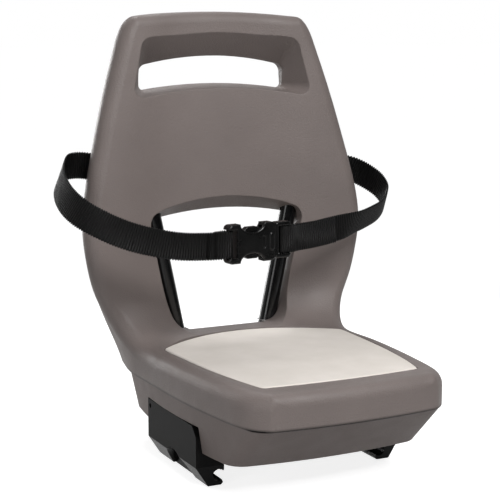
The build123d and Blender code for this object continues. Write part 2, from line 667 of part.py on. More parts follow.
# Seat pad
with BuildPart() as seat_pad:
    extrude(pad_outline(PAD_SEAT, 0), amount=PAD_THICK)
    fillet(seat_pad.faces().sort_by(Axis.Z)[-1].edges(), PAD_EDGE_R)
save(seat_pad.part, "seat_pad")

# Steel hoop: from one foot inside the base, over the back of the shell, to the other foot
with BuildPart() as frame_hoop:
    add(bent_tube(TUBE_R, TUBE_R - TUBE_WALL))
save(frame_hoop.part, "frame_hoop")

# Saddles that hold the hoop, with their screws
with BuildPart() as back_saddles:
    for side in SIDES:
        bar_middle = (side * BACK_SADDLE_X, HOOP_TOP_Y, HOOP_TOP)
        add(saddle(Plane(origin=bar_middle, x_dir=(0, 0, 1), z_dir=(-1, 0, 0))))
save(back_saddles.part, "back_saddles")

with BuildPart() as back_saddle_screws:
    for side in SIDES:
        for step in SIDES:
            seat = (side * BACK_SADDLE_X, HOOP_TOP_Y + SADDLE_THICK, HOOP_TOP + step * SADDLE_SCREW)
            add(pan_screw(Plane(origin=seat, z_dir=(0, 1, 0)), SADDLE_SCREW_LONG))
save(back_saddle_screws.part, "back_saddle_screws")

with BuildPart() as base_saddles:
    for side in SIDES:
        for y in BASE_SADDLE_Y:
            add(saddle(Plane(origin=(side * FOOT_X, y, FOOT_Z), x_dir=(1, 0, 0), z_dir=(0, -1, 0))))
save(base_saddles.part, "base_saddles")

with BuildPart() as base_saddle_screws:
    for side in SIDES:
        for y in BASE_SADDLE_Y:
            for step in SIDES:
                seat = (side * FOOT_X + step * SADDLE_SCREW, y, FOOT_Z + SADDLE_THICK)
                add(pan_screw(Plane(origin=seat, z_dir=(0, 0, 1)), SADDLE_SCREW_LONG))
save(base_saddle_screws.part, "base_saddle_screws")

# Screws that join the base to the shell, from below
with BuildPart() as shell_screws:
    for side in SIDES:
        for x, y in SHELL_SCREW_AT:
            add(pan_screw(Plane(origin=(side * x, y, SHELL_SCREW_SEAT), z_dir=(0, 0, -1)), SHELL_SCREW))
save(shell_screws.part, "shell_screws")

# Carrier clamps: hooked jaw, outer plate and the tongue that slides under the base
with BuildPart() as right_clamp:
    wrap_from, wrap_to = ROD_WRAP
    wrap_start = (ROD_X + ROD_R * cos(radians(wrap_from)), ROD_Z + ROD_R * sin(radians(wrap_from)))
    wrap_end = (ROD_X + ROD_R * cos(radians(wrap_to)), ROD_Z + ROD_R * sin(radians(wrap_to)))
    jaw_low = ROD_Z + ROD_R + FIT
    with BuildSketch(Plane.XZ):
        with BuildLine():
            CenterArc((ROD_X, ROD_Z), ROD_R, wrap_from, wrap_to - wrap_from)
            Polyline(
                wrap_end,
                (wrap_end[0], jaw_low),
                *[(ROD_X + x, jaw_low + z) for x, z in JAW_TOOTH],
                *[(JAW_IN + x, jaw_low + z) for x, z in JAW_TIP],
                (JAW_IN, JAW_TOP),
                (PLATE_IN, JAW_TOP),
                (PLATE_IN, PLATE_TOP),
                (CLAMP_OUT, PLATE_TOP),
                (CLAMP_OUT, BEVEL_TOP),
                (BEVEL_IN, HOOK_LOW),
                (JAW_IN + HOOK_TIP[0], HOOK_LOW),
                (JAW_IN + HOOK_TIP_IN, HOOK_LOW + HOOK_TIP[1]),
                wrap_start,
            )
        make_face()
    extrude(amount=CLAMP_HALF, both=True)
    corner = right_clamp.edges().filter_by(Axis.X).filter_by(lambda e: e.center().Z > PLATE_TOP - 1)
    chamfer(corner.sort_by(Axis.Y)[0], PLATE_BEVEL)
    add(span_box((TONGUE_IN, -TONGUE_HALF, TONGUE_Z[0]), (TONGUE_OUT, TONGUE_HALF, TONGUE_Z[1])))
    add(span_box((WEB_IN, -TONGUE_HALF, JAW_TOP - 1), (TONGUE_OUT, TONGUE_HALF, TONGUE_Z[1])))
    with Locations(Plane(origin=(SCALLOP_FLOOR, *SCALLOP_AT), z_dir=(1, 0, 0))):
        Cylinder(SCALLOP_R, CLAMP_OUT, align=UPWARD, mode=Mode.SUBTRACT)
    with Locations(Plane(origin=(PLATE_IN - 1, LACE_HOLE[0], LACE_HOLE[1]), z_dir=(1, 0, 0))):
        Cylinder(LACE_HOLE[2], CLAMP_OUT, align=UPWARD, mode=Mode.SUBTRACT)
    slot_mid = BOLT_AT[0] + (TRAVEL_IN - TRAVEL_OUT) / 2
    slot_long = TRAVEL_IN + TRAVEL_OUT + 2 * (BOLT_R + SLIDE_FIT)
    with BuildSketch(Plane.XY.offset(TONGUE_Z[0] - 1)):
        for step in SIDES:
            with Locations((slot_mid, step * BOLT_AT[1])):
                SlotOverall(slot_long, 2 * (BOLT_R + SLIDE_FIT))
    extrude(amount=TONGUE_Z[1] - TONGUE_Z[0] + 2, mode=Mode.SUBTRACT)
save(right_clamp.part, "right_clamp")

with BuildPart() as left_clamp:
    mirror(right_clamp.part, about=Plane.YZ)
save(left_clamp.part, "left_clamp")

# Bolts, washers and nuts of the clamps
with BuildPart() as clamp_bolts:
    for side in SIDES:
        for step in SIDES:
            add(button_bolt(side * BOLT_AT[0], step * BOLT_AT[1]))
save(clamp_bolts.part, "clamp_bolts")

with BuildPart() as clamp_washers:
    with BuildSketch(Plane.XY.offset(BOLT_SEAT)):
        with GridLocations(2 * BOLT_AT[0], 2 * BOLT_AT[1], 2, 2):
            Circle(WASHER_R)
            Circle(BOLT_R + SCREW_FIT, mode=Mode.SUBTRACT)
    extrude(amount=WASHER)
save(clamp_washers.part, "clamp_washers")

with BuildPart() as clamp_nuts:
    with BuildSketch(Plane.XY.offset(CHANNEL + WALL)):
        with GridLocations(2 * BOLT_AT[0], 2 * BOLT_AT[1], 2, 2):
            RegularPolygon(NUT_ACROSS / 2, 6, major_radius=False)
            Circle(BOLT_R + SCREW_FIT, mode=Mode.SUBTRACT)
    extrude(amount=NUT)
save(clamp_nuts.part, "clamp_nuts")

# Buckle, on the plane through its middle that faces forwards
BUCKLE = Plane(
    origin=BUCKLE_AT,
    x_dir=(cos(radians(BUCKLE_YAW)), sin(radians(BUCKLE_YAW)), 0),
    z_dir=(sin(radians(BUCKLE_YAW)), -cos(radians(BUCKLE_YAW)), 0),
)

with BuildPart(BUCKLE) as buckle_socket:
    with BuildSketch(BUCKLE.offset(-SOCKET_THICK / 2)):
        with Locations((-SOCKET_LONG / 2, 0)):
            RectangleRounded(SOCKET_LONG, 2 * SOCKET_HALF, SOCKET_CORNER_R)
        with Locations((THUMB_AT, SOCKET_HALF), (THUMB_AT, -SOCKET_HALF)):
            Ellipse(*THUMB_CUT, mode=Mode.SUBTRACT)
    extrude(amount=SOCKET_THICK)
    broad = buckle_socket.faces().filter_by(lambda f: abs(f.normal_at().dot(BUCKLE.z_dir)) > 0.99)
    fillet(broad.edges(), SOCKET_EDGE_R)
    with Locations((0.5 - MOUTH_DEEP / 2, 0, 0)):
        Box(MOUTH_DEEP + 1, 2 * MOUTH_HALF, MOUTH_THICK, align=CENTRED, mode=Mode.SUBTRACT)
    with Locations((SLOT_FROM - SOCKET_LONG / 2, 0, 0)):
        Box(SOCKET_LONG, 2 * WEB_SLOT, 2 * SOCKET_THICK, align=CENTRED, mode=Mode.SUBTRACT)
    with Locations((SOCKET_BAR, 0, 0)):
        Cylinder(BAR_R, 2 * WEB_SLOT + 2, rotation=(90, 0, 0), align=CENTRED)
    rib_at, rib_long, rib_wide, rib_high = SOCKET_RIB
    with BuildSketch(BUCKLE.offset(SOCKET_THICK / 2)):
        with Locations((rib_at, 0)):
            SlotOverall(rib_long, rib_wide, rotation=90)
    extrude(amount=rib_high)
    fillet(buckle_socket.faces().sort_by(lambda f: f.center().dot(BUCKLE.z_dir))[-1].edges(), SOCKET_RIB_R)
    notch_at, notch_long, notch_wide, notch_deep = SOCKET_NOTCH
    with BuildSketch(BUCKLE.offset(SOCKET_THICK / 2)):
        with Locations((notch_at, 0)):
            SlotOverall(notch_long, notch_wide, rotation=90)
    extrude(amount=-notch_deep, mode=Mode.SUBTRACT)
save(buckle_socket.part, "buckle_socket")

with BuildPart(BUCKLE) as buckle_plug:
    with BuildSketch(BUCKLE.offset(-PLUG_THICK / 2)):
        with Locations(((PLUG_LONG + FIT) / 2, 0)):
            RectangleRounded(PLUG_LONG - FIT, 2 * PLUG_HALF, PLUG_CORNER_R)
    extrude(amount=PLUG_THICK)
    broad = buckle_plug.faces().filter_by(lambda f: abs(f.normal_at().dot(BUCKLE.z_dir)) > 0.99)
    fillet(broad.edges(), SOCKET_EDGE_R)
    with Locations((PLUG_SLOT + PLUG_LONG / 2, 0, 0)):
        Box(PLUG_LONG, 2 * WEB_SLOT, 2 * PLUG_THICK, align=CENTRED, mode=Mode.SUBTRACT)
    with Locations((PLUG_BAR, 0, 0)):
        Cylinder(BAR_R, 2 * WEB_SLOT + 2, rotation=(90, 0, 0), align=CENTRED)
    with Locations((PLUG_LONG - END_BAR / 2, 0, 0)):
        Box(END_BAR, 2 * WEB_SLOT + 2, 2 * BAR_R, align=CENTRED)
    root = PRONG_OUT - PRONG_STEP
    with BuildSketch(BUCKLE.offset(-PRONG_THICK / 2)):
        for step in SIDES:
            with BuildLine():
                Polyline(
                    (PRONG_ROOT, step * (root - PRONG_WIDE)),
                    (PRONG_ROOT, step * root),
                    (PRONG_HEAD - PRONG_LONG + PRONG_STEP, step * root),
                    (PRONG_HEAD - PRONG_LONG, step * PRONG_OUT),
                    (PRONG_NOSE - PRONG_LONG, step * PRONG_OUT),
                    (-PRONG_LONG, step * (root - 2)),
                    (-PRONG_LONG, step * (root - PRONG_WIDE - 1)),
                    (PRONG_HEAD - PRONG_LONG, step * (root - PRONG_WIDE)),
                    close=True,
                )
            make_face()
        with Locations(((PRONG_ROOT - GUIDE_LONG) / 2, 0)):
            Rectangle(GUIDE_LONG + PRONG_ROOT, 2 * GUIDE_HALF)
    extrude(amount=PRONG_THICK)
save(buckle_plug.part, "buckle_plug")

# Waist belt: the routes in plan, from the anchors behind the shell to the buckle
with BuildSketch() as left_plan:
    with BuildLine():
        FilletPolyline(
            (-ANCHOR_END, STRAP_Y),
            (LEFT_TURN_X, STRAP_Y),
            *LEFT_ROUTE,
            belt_xy(SOCKET_BAR, LOOP_R),
            radius=LEFT_BEND_R,
        )
        CenterArc(belt_xy(SOCKET_BAR, 0), LOOP_R, BUCKLE_YAW - 90, 180)
        Line(belt_xy(SOCKET_BAR, -LOOP_R), belt_xy(SOCKET_BAR + LEFT_TAIL[0], LEFT_TAIL[1]))
    trace(line_width=WEB_THICK)
with BuildPart() as left_strap:
    add(belt_webbing(left_plan.sketch, -1, LEFT_RISE))
save(left_strap.part, "left_strap")

with BuildSketch() as right_plan:
    with BuildLine():
        FilletPolyline(
            (ANCHOR_END, STRAP_Y),
            (RIGHT_TURN_X, STRAP_Y),
            *RIGHT_ROUTE,
            belt_xy(PLUG_LONG + PLUG_CLEAR, -LOOP_R),
            belt_xy(PLUG_BAR, -LOOP_R),
            radius=RIGHT_BEND_R,
        )
        CenterArc(belt_xy(PLUG_BAR, 0), LOOP_R, BUCKLE_YAW + 90, 180)
        Polyline(
            belt_xy(PLUG_BAR, LOOP_R),
            belt_xy(PLUG_LONG + TAIL_STEP[0], LOOP_R),
            belt_xy(PLUG_LONG + TAIL_STEP[1], TAIL_STEP[2]),
            TAIL_END,
        )
    trace(line_width=WEB_THICK)
with BuildPart() as right_strap:
    add(belt_webbing(right_plan.sketch, 1, RIGHT_RISE))
save(right_strap.part, "right_strap")

# Plates and screws at the belt's anchors
plate_wide, plate_high, plate_thick = ANCHOR_PLATE
PLATE_Y = STRAP_Y + WEB_THICK / 2 + SCREW_FIT
with BuildPart() as strap_plates:
    with BuildSketch(Plane(origin=(0, PLATE_Y, ANCHOR_Z), x_dir=(-1, 0, 0), z_dir=(0, 1, 0))):
        with Locations((-ANCHOR_X, 0), (ANCHOR_X, 0)):
            RectangleRounded(plate_wide, plate_high, 3)
            Circle(SCREW_R + SCREW_FIT, mode=Mode.SUBTRACT)
    extrude(amount=plate_thick)
save(strap_plates.part, "strap_plates")

with BuildPart() as strap_screws:
    for side in SIDES:
        seat = (side * ANCHOR_X, PLATE_Y + plate_thick, ANCHOR_Z)
        add(pan_screw(Plane(origin=seat, z_dir=(0, 1, 0)), ANCHOR_SCREW_LONG))
save(strap_screws.part, "strap_screws")
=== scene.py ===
# %% [markdown]
# # A child bike seat
# The packed model gives every rigid piece in its true place, in metres, standing on the floor with its origin under
# the middle of its box and the child facing -Y. This script keeps those pieces and gives them their finishes. It
# makes the soft pieces anew: the foam pad, the woven belt and the belt's sewing.

import json
from math import radians

import bpy
import numpy as np
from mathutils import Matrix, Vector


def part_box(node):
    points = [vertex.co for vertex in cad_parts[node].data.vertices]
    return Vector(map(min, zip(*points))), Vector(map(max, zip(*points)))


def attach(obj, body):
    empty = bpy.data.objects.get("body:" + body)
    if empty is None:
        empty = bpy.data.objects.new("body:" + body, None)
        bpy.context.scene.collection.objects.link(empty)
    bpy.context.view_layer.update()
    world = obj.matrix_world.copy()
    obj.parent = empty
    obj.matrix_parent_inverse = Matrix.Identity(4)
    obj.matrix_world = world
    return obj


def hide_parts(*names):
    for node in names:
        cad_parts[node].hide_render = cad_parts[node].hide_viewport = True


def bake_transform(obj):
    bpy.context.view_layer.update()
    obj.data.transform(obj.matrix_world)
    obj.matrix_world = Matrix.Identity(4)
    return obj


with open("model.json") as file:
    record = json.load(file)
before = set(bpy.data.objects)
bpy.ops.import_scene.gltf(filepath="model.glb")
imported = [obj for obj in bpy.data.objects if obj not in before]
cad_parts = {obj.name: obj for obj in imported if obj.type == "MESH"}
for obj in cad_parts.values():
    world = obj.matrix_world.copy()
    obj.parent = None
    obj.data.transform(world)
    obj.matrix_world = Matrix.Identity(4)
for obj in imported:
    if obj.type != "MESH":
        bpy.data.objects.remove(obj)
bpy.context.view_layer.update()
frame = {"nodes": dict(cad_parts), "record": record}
nodes = frame["nodes"]
scene = bpy.context.scene
scene.view_settings.view_transform = "Standard"

# %% [markdown]
# ## The camera
# The photograph looks at the seat from the front left and a little from above. Where the camera stood was worked out
# from the seat's known points: the corners of the seam, the seat's edges and the ends of the belt. A long lens keeps
# the lines of the backrest nearly parallel, as they are there.

# %% Camera
CAMERA_AT = (-0.5413, -1.0471, 0.37875)
CAMERA_TILT = 80.83
CAMERA_TURN = -26.22
LENS_MM = 97.56
SENSOR_MM = 36.0

camera_data = bpy.data.cameras.new("photo_camera")
camera_data.lens = LENS_MM
camera_data.sensor_width = SENSOR_MM
camera = bpy.data.objects.new("photo_camera", camera_data)
camera.location = CAMERA_AT
camera.rotation_euler = (radians(CAMERA_TILT), 0.0, radians(CAMERA_TURN))
scene.collection.objects.link(camera)
scene.camera = camera
print("camera at", CAMERA_AT)

# %% [markdown]
# ## Helpers for surfaces
# Every new piece is a grid of points worked out with numpy: one array index runs along the piece, the other round its
# section. A grid turns into a mesh by joining each point with its three neighbours, whole arrays at a time. The two
# ends of a closed section are shut with one flat face each, so that the piece is a solid skin.

# %% Grid to mesh
def sweep_faces(rows, columns):
    """Quads of a grid that is closed round its columns: point (i, j) joins (i, j+1), (i+1, j+1), (i+1, j)."""
    i, j = np.meshgrid(np.arange(rows - 1), np.arange(columns), indexing="ij")
    right = (j + 1) % columns
    quads = [i * columns + j, i * columns + right, (i + 1) * columns + right, (i + 1) * columns + j]
    return np.stack(quads, axis=-1).reshape(-1, 4)


def looks_outward(points):
    """Whether the grid's faces look outwards. Each quad is two triangles, and the sum of a . (b x c) over all of them,
    measured from the middle, is six times the volume inside. It is negative where the columns run the wrong way."""
    corner = points - points.mean(axis=(0, 1))
    beside = np.roll(corner, -1, axis=1)
    one_half = np.sum(corner[:-1] * np.cross(beside[:-1], beside[1:]))
    other_half = np.sum(corner[:-1] * np.cross(beside[1:], corner[1:]))
    return one_half + other_half > 0


print("a grid of 3 by 4 points has", len(sweep_faces(3, 4)), "faces round it")

# %% [markdown]
# The mesh gets its faces, its finish and smooth shading in whole arrays. A woven piece also brings its own map of
# lengths along and across it, which Blender calls UV, so that a pattern can follow its bends.

# %% A skin over a grid
def skin(name, points, material, uv=None):
    """A mesh piece from a grid of points (rows, columns, 3) closed round its columns, with its ends shut."""
    if not looks_outward(points):
        points = points[:, ::-1]
        uv = None if uv is None else uv[:, ::-1]
    rows, columns, _ = points.shape
    faces = sweep_faces(rows, columns).tolist()
    faces.append(list(range(columns))[::-1])
    faces.append(list(range((rows - 1) * columns, rows * columns)))
    mesh = bpy.data.meshes.new(name)
    mesh.from_pydata(points.reshape(-1, 3).tolist(), [], faces)
    mesh.materials.append(material)
    mesh.polygons.foreach_set("use_smooth", np.ones(len(mesh.polygons), dtype=bool))
    if uv is not None:
        corner = np.zeros(len(mesh.loops), dtype=np.int32)
        mesh.loops.foreach_get("vertex_index", corner)
        layer = mesh.uv_layers.new(name="weave")
        layer.data.foreach_set("uv", uv.reshape(-1, 2)[corner].astype(np.float32).ravel())
    mesh.update()
    piece = bpy.data.objects.new(name, mesh)
    scene.collection.objects.link(piece)
    print(name, "has", len(mesh.polygons), "faces")
    return piece


# %% [markdown]
# ## The finishes
# Each finish is one Principled shader. Its constant numbers sit on the shader's own sockets, and only what really
# varies over the surface is linked: a little mottling in the colour, a little unevenness in the gloss, and a bump of
# the size that the real surface has. All patterns read Object coordinates, which are metres here.

# %% Colours
def srgb(red, green, blue):
    """A colour as an image editor shows it, 0 to 255, turned into the linear values that a shader takes."""
    value = np.array([red, green, blue]) / 255.0
    linear = np.where(value <= 0.04045, value / 12.92, ((value + 0.055) / 1.055) ** 2.4)
    return tuple(linear) + (1.0,)


def grey(value):
    """A grey of one linear value."""
    return (value, value, value, 1.0)


WHITE = grey(1.0)
print("a middle grey of 128 is", round(srgb(128, 128, 128)[0], 3), "in linear light")

# %% [markdown]
# One small class keeps a finish's nodes together. Each of its ways adds a pattern: noise, a range of numbers, a drift
# of colour, a darkening by height, soft edges, gloss or relief. Reliefs stack up, the later on top of the earlier.

# %% A finish and its patterns
NOISE_RANGE = (0.3, 0.7)
EDGE_SAMPLES = 6


class Finish:
    """A material with one Principled shader, and short ways to hang patterns on it."""

    def __init__(self, name, colour, roughness, **sockets):
        self.material = bpy.data.materials.new(name)
        self.material.use_nodes = True
        self.tree = self.material.node_tree
        self.shader = self.tree.nodes["Principled BSDF"]
        self.shader.inputs["Base Color"].default_value = colour
        self.shader.inputs["Roughness"].default_value = roughness
        for socket, value in sockets.items():
            self.shader.inputs[socket].default_value = value
        self.place = self.tree.nodes.new("ShaderNodeTexCoord").outputs["Object"]
        self.relief = None

    def add(self, kind, sources, **numbers):
        """A node of a kind, with numbers on some of its sockets and sources linked to others."""
        node = self.tree.nodes.new("ShaderNode" + kind)
        for socket, number in numbers.items():
            node.inputs[socket].default_value = number
        for socket, source in sources.items():
            self.tree.links.new(source, node.inputs[socket])
        return node

    def hang(self, source, socket):
        """A source linked to a socket of the shader."""
        self.tree.links.new(source, self.shader.inputs[socket])

    def noise(self, scale, detail=3.0):
        """Cloudy noise with about `scale` lumps to a metre."""
        return self.add("TexNoise", {"Vector": self.place}, Scale=scale, Detail=detail).outputs["Fac"]

    def along(self, axis):
        """The distance from the origin along X, Y or Z, in metres."""
        return self.add("SeparateXYZ", {"Vector": self.place}).outputs[axis]

    def span(self, factor, low, high, start=NOISE_RANGE[0], stop=NOISE_RANGE[1]):
        """A number that goes from low to high as the factor goes from start to stop."""
        ends = {"From Min": start, "From Max": stop, "To Min": low, "To Max": high}
        return self.add("MapRange", {"Value": factor}, **ends).outputs["Result"]

    def mottle(self, factor, dark, light):
        """Colour that drifts from dark to light with the factor."""
        node = self.add("ValToRGB", {"Fac": factor})
        for stop, position, colour in zip(node.color_ramp.elements, NOISE_RANGE, (dark, light)):
            stop.position = position
            stop.color = colour
        self.hang(node.outputs["Color"], "Base Color")

    def shade_by_height(self, low, high, start, stop):
        """The colour hung so far, times a number that goes from low to high between two heights in metres."""
        colour = self.shader.inputs["Base Color"].links[0].from_socket
        node = self.add("VectorMath", {0: colour})
        node.operation = "SCALE"
        self.tree.links.new(self.span(self.along("Z"), low, high, start, stop), node.inputs["Scale"])
        self.hang(node.outputs["Vector"], "Base Color")

    def soft_edges(self, radius):
        """Edges that catch the light as if they were rounded to a radius in metres."""
        node = self.add("Bevel", {}, Radius=radius)
        node.samples = EDGE_SAMPLES
        self.relief = node.outputs["Normal"]
        self.hang(self.relief, "Normal")

    def rough(self, factor, low, high):
        """Roughness that wanders between low and high."""
        self.hang(self.span(factor, low, high), "Roughness")

    def bump(self, height, depth, strength):
        """Relief of a depth in metres, on top of any relief hung before."""
        below = {} if self.relief is None else {"Normal": self.relief}
        node = self.add("Bump", {"Height": height, **below}, Distance=depth, Strength=strength)
        self.relief = node.outputs["Normal"]
        self.hang(self.relief, "Normal")


print("a finish can:", [way for way in vars(Finish) if not way.startswith("_")])

# %% [markdown]
# ### Moulded plastic
# The shell and the base are moulded in the same taupe plastic. Its satin skin comes from a spark-eroded texture in the
# mould, so it is a fine grain, about half a millimetre from lump to lump, over a deeper one of about 1.3 mm. The
# colour clouds a little where the melt flowed. The black clamps are textured less deeply, and the buckle hardly at
# all. Edges catch the light as if they were rounded, by about a millimetre, and by more on the shell.

# %% Plastic from a textured mould
CLOUDS = 14.0
GLOSS_PATCHES = 60.0
GLOSS_DRIFT = (-0.05, 0.06)
FINE_GRAIN = 1900.0
DEEP_GRAIN = 760.0
DEEPER = 3.5


def moulded(name, colour, spread, roughness, grain, shine, edge):
    """Plastic from a textured mould: colour clouded by a spread either way, gloss that wanders a little, a fine grain
    of a depth with a deeper one under it, and edges soft to a radius."""
    finish = Finish(name, colour, roughness, **{"Specular IOR Level": shine})
    finish.soft_edges(edge)
    dark, light = (tuple(channel * (1.0 + sign * spread) for channel in colour[:3]) + (1.0,) for sign in (-1, 1))
    finish.mottle(finish.noise(CLOUDS, detail=4.0), dark, light)
    finish.rough(finish.noise(GLOSS_PATCHES), *(roughness + drift for drift in GLOSS_DRIFT))
    finish.bump(finish.noise(FINE_GRAIN, detail=2.0), depth=grain, strength=0.5)
    finish.bump(finish.noise(DEEP_GRAIN), depth=DEEPER * grain, strength=1.0)
    return finish


TAUPE = srgb(113, 104, 101)
shell_finish = moulded("shell_moulding", TAUPE, spread=0.06, roughness=0.48, grain=0.00011, shine=0.34, edge=0.0018)
base_finish = moulded("base_moulding", TAUPE, spread=0.06, roughness=0.5, grain=0.00011, shine=0.16, edge=0.0006)
clamp_finish = moulded("clamp_moulding", srgb(12, 11, 11), 0.25, 0.62, grain=0.00005, shine=0.16, edge=0.0007)
buckle_finish = moulded("buckle_moulding", srgb(5, 5, 5), 0.2, 0.28, grain=0.00002, shine=0.45, edge=0.0013)
plastics = (shell_finish, base_finish, clamp_finish, buckle_finish)
print("moulded finishes:", [finish.material.name for finish in plastics])

# %% [markdown]
# The shell and the base are painted darker towards the open joint between them, 70 to 71 mm over the floor: painted
# shade of the shadow in the joint and under the shell's lower edge. The clamps are textured on their faces only: the
# bevel below, from 17 mm over the floor down, is smooth and mirrors the floor. Both changes are read from the height,
# because the pieces themselves are left as they are.

# %% Changes by height
SHELL_SEAM = (0.0709, 0.0733)
SHELL_SHADE = 0.30
BASE_SEAM = (0.0689, 0.0697)
BASE_SHADE = 0.08
CLAMP_BEVEL = (0.0165, 0.0175)
CLAMP_GLOSS = 0.2
CLAMP_MATT = 0.66

# Painted shade: the shell darkens over its lowest 2.4 mm and the base near its top edge, towards the joint.
shell_finish.shade_by_height(SHELL_SHADE, 1.0, *SHELL_SEAM)
base_finish.shade_by_height(1.0, BASE_SHADE, *BASE_SEAM)
clamp_height = clamp_finish.along("Z")
clamp_finish.hang(clamp_finish.span(clamp_height, CLAMP_GLOSS, CLAMP_MATT, *CLAMP_BEVEL), "Roughness")
print("seam darkened between", BASE_SEAM[0], "and", SHELL_SEAM[1], "m")

# %% [markdown]
# ### Paint and zinc
# The hoop is a steel tube under gloss black paint, which dries with a faint orange-peel. The screws, plates, bolts
# and nuts are zinc plated: bright, but never quite even.

# %% Metal finishes
hoop_finish = Finish("hoop_black", srgb(8, 8, 9), 0.18)
hoop_finish.rough(hoop_finish.noise(90.0), low=0.16, high=0.24)
hoop_finish.bump(hoop_finish.noise(420.0, detail=2.0), depth=0.00008, strength=0.35)

zinc_finish = Finish("zinc_plate", srgb(186, 186, 182), 0.34, Metallic=1.0)
zinc_finish.mottle(zinc_finish.noise(160.0, detail=4.0), srgb(168, 168, 166), srgb(198, 198, 193))
zinc_finish.rough(zinc_finish.noise(300.0), low=0.27, high=0.42)
zinc_finish.bump(zinc_finish.noise(1500.0, detail=2.0), depth=0.00002, strength=0.4)
print("metal finishes:", hoop_finish.material.name, zinc_finish.material.name)

# %% [markdown]
# ### Dressing the model's own pieces
# The rigid pieces keep their shapes. Each takes the finish of its slot in the record.

# %% Dress the rigid pieces
slot_finish = {
    "shell_plastic": shell_finish,
    "base_plastic": base_finish,
    "clamp_plastic": clamp_finish,
    "buckle_plastic": buckle_finish,
    "hoop_paint": hoop_finish,
    "zinc_steel": zinc_finish,
}
rigid = [part for part in frame["record"]["subparts"] if part["material_slot"] in slot_finish]
for part in rigid:
    nodes[part["node"]].material_slots[0].material = slot_finish[part["material_slot"]].material
print("dressed", len(rigid), "pieces")

# %% [markdown]
# ## The foam pad
# The pad is a sheet of pale closed-cell foam, cut to a bowed outline and let into a recess of the seat. Foam has no
# seams to pull it in, so no cloth is simulated: the outline is drawn as four arcs, and rings of it are stacked from
# the underside, up the cut edge, over the soft shoulder and in to the middle, where the top swells a little.

# %% Lines for the outline
def arc_through(start, crown, end, count):
    """Points on the parabola from start to end that passes its crown halfway: the three ends weighted by
    (1-t)(1-2t), 4t(1-t) and t(2t-1)."""
    t = np.linspace(0.0, 1.0, count, endpoint=False)[:, None]
    start, crown, end = np.array(start), np.array(crown), np.array(end)
    return (1 - t) * (1 - 2 * t) * start + 4 * t * (1 - t) * crown + t * (2 * t - 1) * end


def evened(line, count, closed):
    """The line's points set out again at equal steps of its length, and that length."""
    loop = np.vstack([line, line[:1]]) if closed else line
    along = np.concatenate([[0.0], np.cumsum(np.linalg.norm(np.diff(loop, axis=0), axis=1))])
    steps = np.linspace(0.0, along[-1], count, endpoint=not closed)
    return np.stack([np.interp(steps, along, axis) for axis in loop.T], axis=1), along[-1]


def eased(line, reach, length):
    """A closed line with its corners rounded: each point becomes the mean of its neighbours, weighted by a bell curve
    whose width is the reach, which in the line's Fourier series is one factor for each wave."""
    waves = np.fft.fftfreq(len(line), 1.0 / len(line)) * 2 * np.pi / length
    spectrum = np.fft.fft(line, axis=0) * np.exp(-0.5 * (waves * reach) ** 2)[:, None]
    return np.real(np.fft.ifft(spectrum, axis=0))


print("half way on a bow from 0 to 2 with a crown of 1:", arc_through((0, 0), (1, 1), (2, 0), 2)[1])

# %% [markdown]
# The pad's corners and the crowns of its four bowed sides are read from the photograph. The sides meet in sharp
# corners, which are then eased together, as a knife goes round them.

# %% Outline of the pad
PAD_FRONT = ((-0.0730, -0.1188), (0.0, -0.1228), (0.0730, -0.1188))
PAD_REAR = ((0.0910, 0.0402), (0.0, 0.0792), (-0.0910, 0.0402))
PAD_RIGHT = (0.0855, -0.0528)
PAD_LEFT = (-0.0855, -0.0528)
PAD_POINTS = 480
PAD_CORNER = 0.0028

pad_edges = [
    arc_through(*PAD_FRONT, count=200),
    arc_through(PAD_FRONT[2], PAD_RIGHT, PAD_REAR[0], count=300),
    arc_through(*PAD_REAR, count=240),
    arc_through(PAD_REAR[2], PAD_LEFT, PAD_FRONT[0], count=300),
]
pad_line, pad_length = evened(np.vstack(pad_edges), PAD_POINTS, closed=True)
pad_line = eased(pad_line, PAD_CORNER, pad_length)
print("pad outline, mm round:", round(1000 * pad_length, 1))

# %% [markdown]
# The rings of the edge are the outline moved inwards, square to itself, and set at their heights: the underside, a
# small broken edge at the foot, the cut wall, and a quarter circle for the shoulder.

# %% Rings of the pad's edge
def unit(vectors):
    """Vectors divided by their lengths."""
    return vectors / np.linalg.norm(vectors, axis=-1, keepdims=True)


PAD_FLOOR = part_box("seat_pad")[0][2]
PAD_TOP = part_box("seat_pad")[1][2]
PAD_SHOULDER = 0.0024
SHOULDER_RINGS = 8
PAD_FOOT = 0.0006
PAD_UNDER = 0.003

pad_turn = np.gradient(np.vstack([pad_line[-1:], pad_line, pad_line[:1]]), axis=0)[1:-1]
pad_normal = unit(np.stack([pad_turn[:, 1], -pad_turn[:, 0]], axis=1))
shoulder = np.linspace(0.0, np.pi / 2, SHOULDER_RINGS + 1)[1:]
shoulder_foot = PAD_TOP - PAD_SHOULDER
edge_inset = np.concatenate([[PAD_UNDER, PAD_FOOT, 0.0, 0.0], PAD_SHOULDER * (1 - np.cos(shoulder))])
edge_height = np.concatenate([[PAD_FLOOR, PAD_FLOOR, PAD_FLOOR + PAD_FOOT, shoulder_foot],
                              PAD_TOP - PAD_SHOULDER * (1 - np.sin(shoulder))])
edge_plan = pad_line[None] - edge_inset[:, None, None] * pad_normal[None]
edge_rise = np.broadcast_to(edge_height[:, None, None], (*edge_plan.shape[:2], 1))
edge_rings = np.concatenate([edge_plan, edge_rise], axis=2)
print("pad's edge:", len(edge_rings), "rings, mm high:", round(1000 * (PAD_TOP - PAD_FLOOR), 1))

# %% [markdown]
# Over the top, each ring is a smaller copy of the last one of the edge, drawn in to the middle. With the share s of
# the full size, the top swells as 1 - s^2 raised to a power, and a faint ripple of two crossed waves keeps the sheet
# from looking machined. The last ring is small enough to be shut with one flat face.

